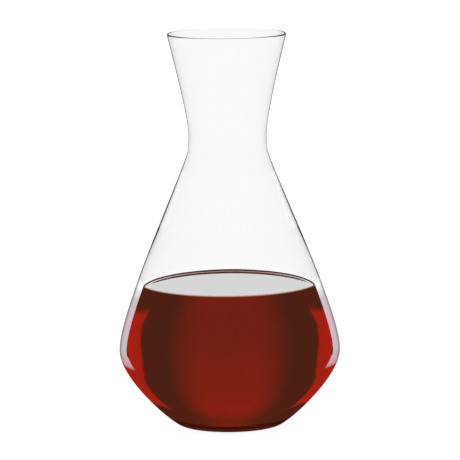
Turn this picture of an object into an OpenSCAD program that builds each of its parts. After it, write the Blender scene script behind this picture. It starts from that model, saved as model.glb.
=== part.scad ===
// Wine decanter: one blown glass vessel with a flared mouth, and the red wine standing in it.
// The origin is the centre of the standing ring, on the surface that the decanter stands on.
// +Z is the axis of the vessel, up to the mouth. Everything is turned about that axis.

/* [Glass body] */
// Height from the standing surface to the top of the lip
body_h = 240; // [228:1:265]
// Diameter across the lip
mouth_d = 72.4; // [62:0.2:84]
// Lean of the flared mouth from upright, in degrees
mouth_lean = 14; // [8:0.5:20]
// Narrowest outer diameter of the neck
neck_d = 48.4; // [40:0.2:54]
// Height of the narrowest point of the neck
neck_h = 169.4; // [158:0.2:182]
// Largest outer diameter, round the belly
belly_d = 135.2; // [122:0.2:148]
// Height of the largest diameter
belly_h = 46.1; // [42:0.1:52]
// Outer diameter of the ring that it stands on
foot_d = 61.6; // [56:0.2:68]

/* [Fullness of the curves] */
// How far the side of the mouth stays straight below the lip
mouth_reach = 67; // [45:1:70]
// How far the neck stays upright above its narrowest point
neck_reach_up = 7.9; // [4:0.1:14]
// How far the neck stays upright below its narrowest point
neck_reach_down = 7.2; // [4:0.1:14]
// How far the belly stays upright above its widest point
shoulder_reach = 24.5; // [16:0.1:32]
// How far the belly stays upright below its widest point
belly_reach = 17.6; // [12:0.1:22]
// How far the underside stays level outside the standing ring
foot_reach = 3.9; // [2:0.1:8]

/* [Wall] */
// Thickness of the lip
lip_wall = 1.2; // [1:0.1:1.6]
// Thickness of the wall at the neck
neck_wall = 1.7; // [1.5:0.1:2.5]
// Thickness of the wall round the belly and the shoulder
body_wall = 4.2; // [3:0.1:4.6]
// Height above which the wall starts to thin towards the neck
thick_wall_h = 105; // [80:1:120]
// Thickness of the glass in the middle of the base
base_wall = 5; // [4:0.1:7]
// Width of the flat ring that touches the table
ring_w = 3.5; // [2:0.5:6]
// Height of the hollow under the base
punt_h = 2.2; // [1:0.1:3]

/* [Bowl inside] */
// Diameter of the flat floor of the bowl
floor_d = 48; // [40:1:54]
// How far the inside stays upright below its widest point
bowl_reach = 14; // [12:0.1:18]
// How far the inside stays level outside the flat floor
floor_reach = 12; // [6:0.5:16]

/* [Wine] */
// Height of the wine's surface
wine_h = 85.6; // [30:0.2:120]

/* [Hidden] */

// Roundness of the turned surfaces, and steps along each curve of the outline
turn_steps = 180;
curve_steps = 20;
lip_steps = 8;
punt_steps = 8;

mouth_r = mouth_d / 2;
neck_r = neck_d / 2;
belly_r = belly_d / 2;
foot_r = foot_d / 2;
floor_r = floor_d / 2;
lip_r = lip_wall / 2;
ring_r = foot_r - ring_w;
floor_h = punt_h + base_wall;

// Directions in the outline's plane: along the side of the mouth, and square out of it
mouth_side = [sin(mouth_lean), cos(mouth_lean)];
mouth_out = [cos(mouth_lean), -sin(mouth_lean)];
lip_centre = [mouth_r - lip_r, body_h - lip_r];

// A cubic curve from a to d, which leaves a towards b and reaches d from c
function curve_at(a, b, c, d, t) =
    pow(1 - t, 3) * a + 3 * pow(1 - t, 2) * t * b + 3 * (1 - t) * t * t * c + pow(t, 3) * d;
function slope_at(a, b, c, d, t) =
    pow(1 - t, 2) * (b - a) + 2 * (1 - t) * t * (c - b) + t * t * (d - c);

// Points along a curve, without its last, which is the first of the next curve
function curve(a, b, c, d) =
    [for (i = [0 : curve_steps - 1]) curve_at(a, b, c, d, i / curve_steps)];

// Wall thickness at height h: even up to the shoulder, eased down to the neck, then tapered to the lip
function ease(t) = t * t * (3 - 2 * t);
function wall_at(h) =
    h > neck_h
        ? neck_wall + (lip_wall - neck_wall) * min(1, (h - neck_h) / (lip_centre.y - neck_h))
        : body_wall + (neck_wall - body_wall) * ease(max(0, (h - thick_wall_h) / (neck_h - thick_wall_h)));

// A point on the inside, square across the wall from the same curve's point on the outside
function inside_of(p, s) = p + wall_at(p.y) * [s.y, -s.x] / norm(s);
function inner_curve(a, b, c, d) =
    [for (i = [0 : curve_steps - 1])
        inside_of(curve_at(a, b, c, d, i / curve_steps), slope_at(a, b, c, d, i / curve_steps))];

// Each stretch of the side as [start, towards, from, end], from the lip down
mouth_start = lip_centre + lip_r * mouth_out;
mouth_stretch = [
    mouth_start,
    mouth_start - mouth_reach * mouth_side,
    [neck_r, neck_h + neck_reach_up],
    [neck_r, neck_h]
];
shoulder_stretch = [
    [neck_r, neck_h],
    [neck_r, neck_h - neck_reach_down],
    [belly_r, belly_h + shoulder_reach],
    [belly_r, belly_h]
];
belly_stretch = [
    [belly_r, belly_h],
    [belly_r, belly_h - belly_reach],
    [foot_r + foot_reach, 0],
    [foot_r, 0]
];
bowl_stretch = [
    [belly_r - body_wall, belly_h],
    [belly_r - body_wall, belly_h - bowl_reach],
    [floor_r + floor_reach, floor_h],
    [floor_r, floor_h]
];

function along(s) = curve(s[0], s[1], s[2], s[3]);
function along_inside(s) = inner_curve(s[0], s[1], s[2], s[3]);
function backwards(points) = [for (i = [len(points) - 1 : -1 : 0]) points[i]];

// The outside from the lip down to the standing ring, and the inside from the lip down to the floor
outer_side = concat(along(mouth_stretch), along(shoulder_stretch), along(belly_stretch), [[foot_r, 0]]);
inner_side = concat(
    along_inside(mouth_stretch), along_inside(shoulder_stretch), along(bowl_stretch),
    [[floor_r, floor_h], [0, floor_h]]
);

// The shallow dome under the base, from the standing ring to the axis
punt_r = (ring_r * ring_r + punt_h * punt_h) / (2 * punt_h);
punt_angle = asin(ring_r / punt_r);
punt = [for (i = [0 : punt_steps])
    let (a = punt_angle * (1 - i / punt_steps))
    [punt_r * sin(a), punt_h - punt_r * (1 - cos(a))]];

// The half-round top of the lip, from the inside over to the outside
lip = [for (i = [1 : lip_steps - 1])
    let (a = 180 - mouth_lean - 180 * i / lip_steps)
    lip_centre + lip_r * [cos(a), sin(a)]];

module glass_body() {
    color("lightcyan", 0.45)
    rotate_extrude($fn = turn_steps)
    polygon(concat(outer_side, punt, backwards(inner_side), lip));
}

module red_wine() {
    color("darkred")
    rotate_extrude($fn = turn_steps)
    intersection() {
        polygon(concat([[0, body_h]], inner_side));
        square([belly_r, wine_h]);
    }
}

glass_body();
red_wine();
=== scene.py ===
import math

import bpy
from mathutils import Matrix, Vector


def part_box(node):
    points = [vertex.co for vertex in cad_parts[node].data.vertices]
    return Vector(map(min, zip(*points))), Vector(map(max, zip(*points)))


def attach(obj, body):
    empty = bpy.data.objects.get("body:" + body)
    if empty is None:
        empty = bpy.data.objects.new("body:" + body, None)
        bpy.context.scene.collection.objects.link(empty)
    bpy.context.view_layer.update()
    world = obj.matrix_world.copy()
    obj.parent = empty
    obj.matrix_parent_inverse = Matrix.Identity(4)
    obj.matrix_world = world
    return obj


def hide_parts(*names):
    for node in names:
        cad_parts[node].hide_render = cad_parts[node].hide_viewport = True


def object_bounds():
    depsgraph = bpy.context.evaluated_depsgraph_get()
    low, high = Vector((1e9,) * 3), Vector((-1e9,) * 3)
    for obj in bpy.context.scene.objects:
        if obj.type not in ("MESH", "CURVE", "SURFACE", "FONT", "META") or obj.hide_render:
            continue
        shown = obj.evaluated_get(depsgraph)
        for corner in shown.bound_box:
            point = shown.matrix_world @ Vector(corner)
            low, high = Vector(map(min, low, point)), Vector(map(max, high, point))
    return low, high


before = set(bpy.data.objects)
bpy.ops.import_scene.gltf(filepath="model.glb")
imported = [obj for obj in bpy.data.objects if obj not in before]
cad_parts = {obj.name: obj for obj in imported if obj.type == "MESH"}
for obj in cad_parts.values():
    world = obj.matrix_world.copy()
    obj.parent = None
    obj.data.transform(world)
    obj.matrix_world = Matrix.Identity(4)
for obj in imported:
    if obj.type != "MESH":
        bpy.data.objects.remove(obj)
cad_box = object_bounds()

# ---------------------------------------------------------------- camera, in metres
# It looks slightly down on the decanter from far away, as a long lens does
CAMERA_OUT = 2.324
CAMERA_UP = 0.455
CAMERA_REACH = 50
AIM_UP = 0.1195
AIM_ASIDE = 0.0009
VIEW_ANGLE = math.radians(6.84)
CAMERA_ROLL = math.radians(-0.61)

# ---------------------------------------------------------------- shapes, in metres
BODY_H = cad_box[1][2] - cad_box[0][2]
WINE_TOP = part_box("red_wine")[1][2]

# Steps round the axis, and steps between two points of a CAD outline
TURN_STEPS = 256
CURVE_SPLITS = 2
# A stretch with a neighbour this many times shorter gets a support ring this close to that end,
# so that the shading of the short one isn't spread over the long one
SUPPORT_RATIO = 3
SUPPORT_AT = 0.04
# An outline that turns more than CORNER has a real corner, and less than STRAIGHT none at all
CORNER = math.radians(22)
STRAIGHT = math.radians(0.02)
# Points this near the axis are on it, and a CAD point's place is rounded to this many decimals
NEAR = 1e-7
DECIMALS = 6

# The wine's surface climbs the glass by RISE, and falls away from it over a few times REACH
MENISCUS_RISE = 0.0013
MENISCUS_REACH = 0.0008
MENISCUS_SPAN = 6 * MENISCUS_REACH
MENISCUS_STEPS = 24
MENISCUS_CROWDING = 1.8
CLIMB_STEPS = 6
CONTACT_LINE = WINE_TOP + MENISCUS_RISE
# Rings of the flat surface inside the meniscus, as shares of its radius
SURFACE_RINGS = (0.8, 0.5, 0.2)
# Rings of faces inwards from the contact line that have the rim's skin
RIM_RINGS = 9
# How far below and above its level the wine's surface looks for the lean of the wall
WALL_BELOW = 0.002
WALL_ABOVE = 0.003
# Points this close to the level belong to the surface
LEVEL_NEAR = 1e-5

# Above CONTACT_H the wine stands FILM_GAP clear of the glass, and below it overlaps by as much
FILM_GAP = 0.00012
CONTACT_H = 0.0395
CONTACT_BLEND = 0.004

# Heights that part the glass's skins
LIP_DROP = 0.0012
SHOULDER_LOW = 0.12
SHOULDER_HIGH = 0.155

FLOOR_HALF = 30
FLOOR_DROP = 0.0002

# ---------------------------------------------------------------- optics
WHITE = (1, 1, 1)
GLASS_IOR = 1.5
WINE_IOR = 1.34

# Fresnel shares between which each skin passes from bending to mirroring
OUTER_MIRROR = (0.25, 0.6)
INNER_MIRROR = (0.5, 0.95)
SHOULDER_MIRROR = (0.5, 0.85)
NECK_MIRROR = (0.28, 0.65)
LIP_MIRROR = (0.4, 0.8)
FOOT_MIRROR = (0.6, 0.98)
WINE_MIRROR = (0.02, 0.16)
# The least that a dry skin mirrors, as a share of its real Fresnel share
DRY_SHINE = 0.5
LIP_SHINE = 1.0

NECK_SHADE = (0.2, 0.2, 0.2)
WINE_SHEEN = (0.70, 0.707, 0.70)
WINE_COLOUR = (0.85, 0.10, 0.02)
WINE_DENSITY = 100
# A faint warm painted glow on the wine's side
WINE_PAINTED_GLOW = (0.030, 0.0145, 0.0068)
# Painted shade on the wine's rim where it climbs the glass: dark brown seen from outside the wine, a pale
# warm grey seen from inside
RIM_PAINTED_SHADE_FRONT = (0.2, 0.11, 0.085)
RIM_PAINTED_SHADE_BACK = (0.8, 0.74, 0.66)

# Painted by height: the colour of the reflection that makes the pale band beside the wine, and painted shade
# on what shows through the lowest glass, darkest a few millimetres above the table, where the table keeps
# out light
BAND_PAINTED_REFLECTION = [
    (0.0385, (0.40, 0.03, 0.02)),
    (0.0415, (0.62, 0.34, 0.40)),
    (0.048, (0.57, 0.52, 0.53)),
    (0.066, (0.71, 0.49, 0.59)),
    (0.078, (0.60, 0.57, 0.57)),
    (0.0855, (0.95, 0.95, 0.95)),
]
# Painted shade on what shows through the lowest glass, darkest a few millimetres above the table
BASE_PAINTED_SHADE = [
    (0, (1, 0.93, 0.96)),
    (0.0019, (1, 0.9, 0.95)),
    (0.0029, (0.5, 0.5, 0.5)),
    (0.0045, (0.3, 0.34, 0.34)),
    (0.0065, WHITE),
]

# Light caught inside the wine's side, by the height where it meets the side
CAUGHT_LIGHT = [
    (0.009, (0.1, 0.1, 0.1)),
    (0.015, WHITE),
    (0.047, WHITE),
    (0.0525, (0.1, 0.1, 0.1)),
    (0.08, (0.1, 0.1, 0.1)),
    (0.084, (0.32, 0.2, 0.16)),
]
CAUGHT_LEVEL = 1.25
CAUGHT_SHARE = (0.998, 0.9999)

# Slow unevenness of blown glass, and wear where the standing ring rubs
WAVE_SCALE = 45
WAVE_DETAIL = 1
WAVE_DEPTH = 0.00002
WEAR_H = 0.0006
WEAR_SCALE = 900
WEAR_ROUGHNESS = 0.35

FLOOR_COLOUR = (0.3, 0.3, 0.3)
FLOOR_ROUGHNESS = 0.9
FLOOR_GLOW = 0.9

# ---------------------------------------------------------------- light
# Levels that each kind of ray sees round the decanter
BACKDROP_LEVEL = 1.0
CLEAR_LEVEL = 0.985
MIRROR_LEVEL = 0.28
FLOOR_LEVEL = 1.04
# Rays that have passed more boundaries than this have been through the wine, and see the panels
WINE_DEPTH = 4.5

# Panels behind the wine, as levels by degrees from the nearest quarter turn and above the horizon
HALF_QUARTER = 45.0
PANEL_GAP = 0.16
MIDDLE_ACROSS = [(0, 1), (6, 1), (20, 0), (HALF_QUARTER, 0)]
MIDDLE_UP = [(-50, 0), (-30, 0.56), (-8, 0.66), (6, 0.84), (20, 0.78), (34, 0.08), (60, 0)]
SIDE_ACROSS = [(0, 0), (31, 0), (34, 1), (HALF_QUARTER, 1)]
SIDE_UP = [(-50, 0), (-25, 0), (-20, 1.0), (30, 1.0), (45, 0)]
SIDE_LEVEL = 1.04

GLOSSY_BOUNCES = 12
TRANSMISSION_BOUNCES = 16
MAX_BOUNCES = 28


# ---------------------------------------------------------------- outlines of the CAD nodes
def section_of(node):
    """The outline (radius, height) of a turned CAD node, in order, from its seam on the +X side."""
    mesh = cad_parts[node].data
    key = {}
    for v in mesh.vertices:
        if abs(v.co.y) < NEAR and v.co.x > -NEAR:
            key[v.index] = (round(v.co.x, DECIMALS), round(v.co.z, DECIMALS))
    beside = {p: set() for p in key.values()}
    for e in mesh.edges:
        a, b = e.vertices
        if a in key and b in key and key[a] != key[b]:
            beside[key[a]].add(key[b])
            beside[key[b]].add(key[a])
    path = [min((p for p in beside if len(beside[p]) == 1), key=lambda p: p[1])]
    while True:
        onward = [p for p in beside[path[-1]] if p not in path]
        if not onward:
            break
        path.append(min(onward, key=lambda p: math.dist(path[-1], p)))
    first = [] if path[0][0] < NEAR else [(0, path[0][1])]
    last = [] if path[-1][0] < NEAR else [(0, path[-1][1])]
    return first + path + last


def turn_at(a, b, c):
    """How far the outline turns at b."""
    one, two = (b[0] - a[0], b[1] - a[1]), (c[0] - b[0], c[1] - b[1])
    angle = math.atan2(two[1], two[0]) - math.atan2(one[1], one[0])
    return abs((angle + math.pi) % (2 * math.pi) - math.pi)


def without_straights(path):
    """The outline with only the points where it turns."""
    inner = [b for a, b, c in zip(path, path[1:], path[2:]) if turn_at(a, b, c) > STRAIGHT]
    return [path[0], *inner, path[-1]]


def steps_between(before, reach, after):
    """Places along a stretch, as shares of its length, with support beside a much shorter neighbour."""
    steps = [k / CURVE_SPLITS for k in range(CURVE_SPLITS)]
    if before < reach / SUPPORT_RATIO:
        steps.insert(1, SUPPORT_AT)
    if after < reach / SUPPORT_RATIO:
        steps.append(1 - SUPPORT_AT)
    return steps


def rounded(path):
    """The outline with smooth curves through its points, and its real corners kept."""
    sharp = {0, len(path) - 1}
    sharp |= {i for i in range(1, len(path) - 1) if turn_at(*path[i - 1:i + 2]) > CORNER}
    out = []
    for i in range(len(path) - 1):
        p1, p2 = Vector(path[i]), Vector(path[i + 1])
        p0 = Vector(path[i - 1]) if i not in sharp else p1 * 2 - p2
        p3 = Vector(path[i + 2]) if i + 1 not in sharp else p2 * 2 - p1
        reach = (p2 - p1).length
        m1 = (p2 - p0).normalized() * reach
        m2 = (p3 - p1).normalized() * reach
        for t in steps_between((p1 - p0).length, reach, (p3 - p2).length):
            h = (2 * t**3 - 3 * t**2 + 1, t**3 - 2 * t**2 + t, 3 * t**2 - 2 * t**3, t**3 - t**2)
            out.append(tuple(h[0] * p1 + h[1] * m1 + h[2] * p2 + h[3] * m2))
    return [*out, tuple(path[-1])]


def smooth_outline(node):
    """The rounded outline of a CAD node, kept above the table."""
    return [(r, max(z, 0)) for r, z in rounded(without_straights(section_of(node)))]


def lathe(name, path):
    """A mesh turned about Z from an outline that starts and ends on the axis."""
    verts, faces, rings = [], [], []
    for r, z in path:
        if r < NEAR:
            rings.append([len(verts)] * TURN_STEPS)
            verts.append((0, 0, z))
            continue
        rings.append(range(len(verts), len(verts) + TURN_STEPS))
        for i in range(TURN_STEPS):
            a = 2 * math.pi * i / TURN_STEPS
            verts.append((r * math.cos(a), r * math.sin(a), z))
    for low, high in zip(rings, rings[1:]):
        for i in range(TURN_STEPS):
            j = (i + 1) % TURN_STEPS
            corner = [low[i], low[j], high[j], high[i]]
            face = [v for n, v in enumerate(corner) if v not in corner[:n]]
            if len(face) > 2:
                faces.append(face)
    mesh = bpy.data.meshes.new(name)
    mesh.from_pydata(verts, [], faces)
    mesh.validate()
    mesh.shade_smooth()
    piece = bpy.data.objects.new(name, mesh)
    bpy.context.scene.collection.objects.link(piece)
    return piece


def clothe(piece, skins, skin_at_ring):
    """Gives a turned piece its skins, by the ring of faces that each face belongs to."""
    order = list(skins)
    for m in skins.values():
        piece.data.materials.append(m)
    for n, face in enumerate(piece.data.polygons):
        face.material_index = order.index(skin_at_ring(n // TURN_STEPS))


# ---------------------------------------------------------------- shader nodes
def feed(tree, socket, value):
    """Links a socket to another node's output, or sets it to a plain value."""
    if isinstance(value, bpy.types.NodeSocket):
        tree.links.new(value, socket)
    else:
        socket.default_value = value


def add_node(tree, kind, inputs=None):
    """A new shader node with its inputs fed."""
    n = tree.nodes.new("ShaderNode" + kind)
    for key, value in (inputs or {}).items():
        feed(tree, n.inputs[key], value)
    return n


def calc(tree, operation, *values):
    """The result of a sum on values or sockets."""
    n = add_node(tree, "Math", dict(enumerate(values)))
    n.operation = operation
    return n.outputs[0]


def choose(tree, test, yes, no):
    """One level where the test is 1, and the other where it is 0."""
    return add_node(tree, "Mix", {0: test, 2: no, 3: yes}).outputs[0]


def ramp(tree, value, low, high, stops, interpolation="LINEAR"):
    """A colour that follows a value from low to high through stops of (value, colour)."""
    share = add_node(tree, "MapRange", {"Value": value, "From Min": low, "From Max": high})
    n = add_node(tree, "ValToRGB", {"Fac": share.outputs[0]})
    n.color_ramp.interpolation = interpolation
    while len(n.color_ramp.elements) < len(stops):
        n.color_ramp.elements.new(0.5)
    for element, (at, colour) in zip(n.color_ramp.elements, stops):
        element.position = (at - low) / (high - low)
        element.color = (*colour, 1)
    return n.outputs["Color"]


def by_height(tree, stops):
    """A colour that changes with height, from stops of (height, colour)."""
    place = add_node(tree, "TexCoord").outputs["Object"]
    height = add_node(tree, "SeparateXYZ", {0: place}).outputs[2]
    return ramp(tree, height, 0, WINE_TOP, stops)


def by_side(tree, front, back):
    """One colour where a face is seen from outside, and another from inside."""
    n = add_node(tree, "Mix")
    n.data_type = "RGBA"
    feed(tree, n.inputs[0], add_node(tree, "NewGeometry").outputs["Backfacing"])
    feed(tree, n.inputs[6], (*front, 1))
    feed(tree, n.inputs[7], (*back, 1))
    return n.outputs[2]


def tinted(tree, tint):
    """A colour for a socket, from one tint or from a list of tints by height."""
    return by_height(tree, tint) if isinstance(tint, list) else (*tint, 1)


def fresnel_step(tree, ior, low, high):
    """A share that rises from 0 to 1 as the Fresnel share goes from low to high, and the Fresnel share."""
    fresnel = add_node(tree, "Fresnel", {"IOR": ior}).outputs[0]
    step = add_node(tree, "MapRange", {"Value": fresnel, "From Min": low, "From Max": high})
    step.interpolation_type = "SMOOTHSTEP"
    return step.outputs[0], fresnel


def surface_of(tree):
    """The shader that goes to the material's surface now."""
    return tree.nodes["Material Output"].inputs["Surface"].links[0].from_socket


def to_surface(tree, shader):
    """Makes this node's shader the material's surface."""
    feed(tree, tree.nodes["Material Output"].inputs["Surface"], shader.outputs[0])


# ---------------------------------------------------------------- materials
def see_through(name, ior, mirror=None, mirror_tint=WHITE, shine=0, tint=WHITE, back_tint=None):
    """A clear boundary that bends light, and mirrors it as the Fresnel share passes mirror's levels."""
    m = bpy.data.materials.new(name)
    m.use_nodes = True
    tree = m.node_tree
    tree.nodes.remove(tree.nodes["Principled BSDF"])
    colour = by_side(tree, tint, back_tint) if back_tint else tinted(tree, tint)
    shader = add_node(tree, "BsdfRefraction", {"IOR": ior, "Roughness": 0, "Color": colour})
    if mirror:
        glossy = add_node(tree, "BsdfGlossy", {"Roughness": 0, "Color": tinted(tree, mirror_tint)})
        share, fresnel = fresnel_step(tree, ior, *mirror)
        if shine:
            share = calc(tree, "MAXIMUM", share, calc(tree, "MULTIPLY", fresnel, shine))
        shader = add_node(tree, "MixShader", {0: share, 1: shader.outputs[0], 2: glossy.outputs[0]})
    to_surface(tree, shader)
    return m


def lit_when_caught(m):
    """Light that the wine's side would keep inside for good comes from a glow by height instead."""
    tree = m.node_tree
    share, _ = fresnel_step(tree, WINE_IOR, *CAUGHT_SHARE)
    lamp = add_node(tree, "Emission", {"Color": by_height(tree, CAUGHT_LIGHT), "Strength": CAUGHT_LEVEL})
    to_surface(tree, add_node(tree, "MixShader", {0: share, 1: surface_of(tree), 2: lamp.outputs[0]}))
    return m


def with_painted_glow(m):
    """A faint warm painted glow added to the wine's side."""
    tree = m.node_tree
    lamp = add_node(tree, "Emission", {"Color": (*WINE_PAINTED_GLOW, 1)})
    to_surface(tree, add_node(tree, "AddShader", {0: surface_of(tree), 1: lamp.outputs[0]}))
    return m


def wine_filled(m):
    """The colour that the wine takes from the light on its way through."""
    tree = m.node_tree
    body = add_node(tree, "VolumeAbsorption", {"Color": (*WINE_COLOUR, 1), "Density": WINE_DENSITY})
    feed(tree, tree.nodes["Material Output"].inputs["Volume"], body.outputs["Volume"])
    return m


def feed_all(tree, kinds, key, value):
    """Feeds the same input of every node of these kinds."""
    for n in tree.nodes:
        if n.bl_idname in kinds:
            feed(tree, n.inputs[key], value)


def waviness(m):
    """The slow unevenness of blown glass."""
    tree = m.node_tree
    place = add_node(tree, "TexCoord").outputs["Object"]
    waves = add_node(tree, "TexNoise", {"Vector": place, "Scale": WAVE_SCALE, "Detail": WAVE_DETAIL})
    bump = add_node(tree, "Bump", {"Height": waves.outputs["Fac"], "Distance": WAVE_DEPTH})
    kinds = ("ShaderNodeBsdfRefraction", "ShaderNodeBsdfGlossy", "ShaderNodeFresnel")
    feed_all(tree, kinds, "Normal", bump.outputs["Normal"])
    return m


def worn_ring(m):
    """Fine scratches where the standing ring rubs on the table."""
    tree = m.node_tree
    place = add_node(tree, "TexCoord").outputs["Object"]
    height = add_node(tree, "SeparateXYZ", {0: place}).outputs[2]
    scratches = add_node(tree, "TexNoise", {"Vector": place, "Scale": WEAR_SCALE})
    touching = calc(tree, "LESS_THAN", height, WEAR_H)
    worn = calc(tree, "MULTIPLY", touching, scratches.outputs["Fac"])
    rough = calc(tree, "MULTIPLY", worn, WEAR_ROUGHNESS)
    feed_all(tree, ("ShaderNodeBsdfRefraction", "ShaderNodeBsdfGlossy"), "Roughness", rough)
    return m


def white_floor():
    """A pale floor that fades into the backdrop."""
    m = bpy.data.materials.new("white_floor")
    m.use_nodes = True
    shader = m.node_tree.nodes["Principled BSDF"]
    shader.inputs["Base Color"].default_value = (*FLOOR_COLOUR, 1)
    shader.inputs["Roughness"].default_value = FLOOR_ROUGHNESS
    shader.inputs["Emission Color"].default_value = (*WHITE, 1)
    shader.inputs["Emission Strength"].default_value = FLOOR_GLOW
    return m


def glass_skins():
    """The glass's materials: one glass, whose skins mirror the studio differently."""
    skins = {
        # The low skin: painted shade by height on what shows through it, and real wear on the standing ring
        "low": worn_ring(see_through("glass_low_painted_shade", GLASS_IOR, FOOT_MIRROR, tint=BASE_PAINTED_SHADE)),
        "outside": see_through("glass_outside", GLASS_IOR, OUTER_MIRROR),
        "shoulder": see_through("glass_shoulder", GLASS_IOR, SHOULDER_MIRROR, shine=DRY_SHINE),
        "neck": see_through("glass_neck", GLASS_IOR, NECK_MIRROR, NECK_SHADE, DRY_SHINE),
        "lip": see_through("glass_lip", GLASS_IOR, LIP_MIRROR, shine=LIP_SHINE),
        "dry_inside": see_through("glass_dry_inside", GLASS_IOR, INNER_MIRROR),
        # The wetted skin's reflection is painted by height to colour the pale band beside the wine
        "wetted": see_through("glass_wetted_painted_reflection", GLASS_IOR, INNER_MIRROR, BAND_PAINTED_REFLECTION),
    }
    return {name: waviness(m) for name, m in skins.items()}


def wine_skins():
    """The wine's materials: its side, the rim that climbs the glass, and its surface."""
    # The rim's skin is painted shade, with one colour seen from outside the wine and another from inside
    rim = see_through("wine_rim_painted_shade", WINE_IOR, tint=RIM_PAINTED_SHADE_FRONT, back_tint=RIM_PAINTED_SHADE_BACK)
    skins = {
        "side": with_painted_glow(lit_when_caught(see_through("wine_side_painted_glow", WINE_IOR))),
        "rim": lit_when_caught(rim),
        "top": see_through("wine_top", WINE_IOR, WINE_MIRROR, WINE_SHEEN),
    }
    return {name: wine_filled(m) for name, m in skins.items()}


# ---------------------------------------------------------------- pieces
def make_camera():
    data = bpy.data.cameras.new("camera")
    data.angle = VIEW_ANGLE
    data.clip_end = CAMERA_REACH
    cam = bpy.data.objects.new("camera", data)
    bpy.context.scene.collection.objects.link(cam)
    cam.location = (AIM_ASIDE, -CAMERA_OUT, CAMERA_UP)
    aim = Vector((AIM_ASIDE, 0, AIM_UP)) - cam.location
    turn = aim.to_track_quat("-Z", "Y").to_matrix().to_4x4()
    cam.rotation_euler = (turn @ Matrix.Rotation(CAMERA_ROLL, 4, "Z")).to_euler()
    bpy.context.scene.camera = cam


def outer_skin_at(z):
    """The skin of the glass's outside at height z, below the lip."""
    if z < CONTACT_H:
        return "low"
    if z < CONTACT_LINE:
        return "outside"
    return "shoulder" if SHOULDER_LOW < z < SHOULDER_HIGH else "neck"


def make_glass():
    path = smooth_outline("glass_body")
    highest = max(range(len(path)), key=lambda i: path[i][1])

    def skin_at(ring):
        z = path[ring][1]
        if z > BODY_H - LIP_DROP:
            return "lip"
        if ring < highest:
            return outer_skin_at(z)
        return "dry_inside" if z > CONTACT_LINE else "wetted"

    piece = lathe("decanter_glass", path)
    clothe(piece, glass_skins(), skin_at)
    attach(piece, "root")
    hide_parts("glass_body")


def film(z):
    """How far the wine stands clear of the glass at height z: below 0 where it wets the glass."""
    t = min(1, max(0, (z - CONTACT_H) / CONTACT_BLEND + 0.5))
    return FILM_GAP * (2 * t - 1)


def off_the_glass(start, side, end):
    """The side's points moved off the glass by the film, square to the outline."""
    moved = []
    for a, b, c in zip([start, *side], side, [*side[1:], end]):
        along = Vector((c[0] - a[0], c[1] - a[1])).normalized()
        out = Vector((along.y, -along.x))
        moved.append(tuple(Vector(b) - out * film(b[1])))
    return moved


def climb_at(level):
    """The points where the wine goes on up the leaning wall, from its level to the contact line."""
    glass = smooth_outline("glass_body")
    highest = max(range(len(glass)), key=lambda i: glass[i][1])
    inside = glass[highest:]
    r1, z1 = min(inside, key=lambda p: abs(p[1] - level + WALL_BELOW))
    r2, z2 = min(inside, key=lambda p: abs(p[1] - level - WALL_ABOVE))
    lean = (r2 - r1) / (z2 - z1)
    heights = [level + MENISCUS_RISE * k / CLIMB_STEPS for k in range(CLIMB_STEPS + 1)]
    return [(r1 + (z - z1) * lean - FILM_GAP, z) for z in heights]


def surface_from(edge, level):
    """The surface from the contact line at radius edge, down the meniscus and level to the axis."""
    points = []
    for k in range(1, MENISCUS_STEPS + 1):
        d = MENISCUS_SPAN * (k / MENISCUS_STEPS) ** MENISCUS_CROWDING
        points.append((edge - d, level + MENISCUS_RISE * math.exp(-d / MENISCUS_REACH)))
    flat_r = points[-1][0]
    return points + [(flat_r * share, level) for share in SURFACE_RINGS] + [(0, level)]


def make_wine():
    path = smooth_outline("red_wine")
    level = max(z for _, z in path)
    side = [p for p in path if p[1] < level - LEVEL_NEAR and p[0] > 0]
    start, end = path[0], (side[-1][0], level)
    climb = climb_at(level)
    wall = off_the_glass(start, side, end) + climb

    def skin_at(ring):
        if ring < len(wall):
            return "side"
        return "rim" if ring < len(wall) + RIM_RINGS else "top"

    piece = lathe("wine_body", [start, *wall, *surface_from(climb[-1][0], level)])
    clothe(piece, wine_skins(), skin_at)
    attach(piece, "root")
    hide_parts("red_wine")


def make_floor():
    corners = [(x * FLOOR_HALF, y * FLOOR_HALF, 0) for x, y in ((-1, -1), (1, -1), (1, 1), (-1, 1))]
    mesh = bpy.data.meshes.new("floor")
    mesh.from_pydata(corners, [], [(0, 1, 2, 3)])
    piece = bpy.data.objects.new("floor", mesh)
    bpy.context.scene.collection.objects.link(piece)
    piece.location.z = -FLOOR_DROP
    piece.data.materials.append(white_floor())
    piece.visible_transmission = False
    piece.visible_glossy = False


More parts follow.
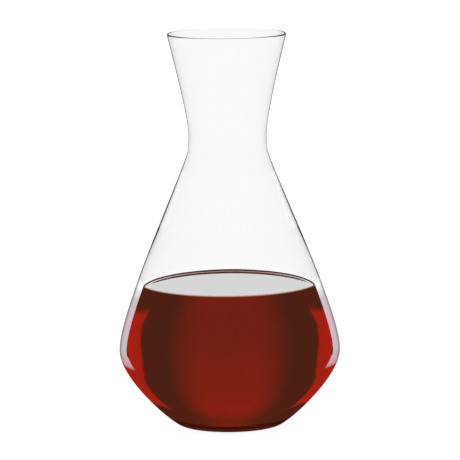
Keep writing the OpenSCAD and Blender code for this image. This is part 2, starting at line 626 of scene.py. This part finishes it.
# ---------------------------------------------------------------- studio
def panel(tree, across, up, across_stops, up_stops):
    """A level that follows two angles, each through its own stops of (degrees, level)."""
    levels = []
    for value, stops in ((across, across_stops), (up, up_stops)):
        greys = [(at, (level, level, level)) for at, level in stops]
        levels.append(ramp(tree, value, stops[0][0], stops[-1][0], greys, "EASE"))
    return calc(tree, "MULTIPLY", *levels)


def panels(tree):
    """The light that the wine lets through: a middle panel at each quarter turn, and side panels between."""
    where = add_node(tree, "TexCoord").outputs["Generated"]
    x, y, z = add_node(tree, "SeparateXYZ", {0: where}).outputs
    degree = 180 / math.pi
    turn = calc(tree, "MULTIPLY", calc(tree, "ARCTAN2", y, x), degree)
    across = calc(tree, "PINGPONG", turn, HALF_QUARTER)
    up = calc(tree, "MULTIPLY", calc(tree, "ARCSINE", z), degree)
    middle = panel(tree, across, up, MIDDLE_ACROSS, MIDDLE_UP)
    side = calc(tree, "MULTIPLY", panel(tree, across, up, SIDE_ACROSS, SIDE_UP), SIDE_LEVEL)
    return calc(tree, "ADD", calc(tree, "ADD", middle, side), PANEL_GAP)


def make_world():
    world = bpy.data.worlds.new("studio")
    bpy.context.scene.world = world
    world.use_nodes = True
    tree = world.node_tree
    tree.nodes.clear()
    ray = add_node(tree, "LightPath").outputs
    deep = calc(tree, "GREATER_THAN", ray["Transmission Depth"], WINE_DEPTH)
    bright = choose(tree, deep, panels(tree), CLEAR_LEVEL)
    level = choose(tree, ray["Is Diffuse Ray"], FLOOR_LEVEL, MIRROR_LEVEL)
    level = choose(tree, ray["Is Transmission Ray"], bright, level)
    level = choose(tree, ray["Is Camera Ray"], BACKDROP_LEVEL, level)
    shade = add_node(tree, "Background", {"Color": (*WHITE, 1), "Strength": level})
    add_node(tree, "OutputWorld", {0: shade.outputs[0]})


def set_light_paths():
    """Clear glass holding wine needs long light paths."""
    scene = bpy.context.scene
    scene.view_settings.view_transform = "Standard"
    scene.cycles.caustics_reflective = False
    scene.cycles.caustics_refractive = False
    scene.cycles.glossy_bounces = GLOSSY_BOUNCES
    scene.cycles.transmission_bounces = TRANSMISSION_BOUNCES
    scene.cycles.max_bounces = MAX_BOUNCES
    scene.cycles.use_denoising = True


# ---------------------------------------------------------------- scene
make_camera()
set_light_paths()
make_world()
make_floor()
make_glass()
make_wine()
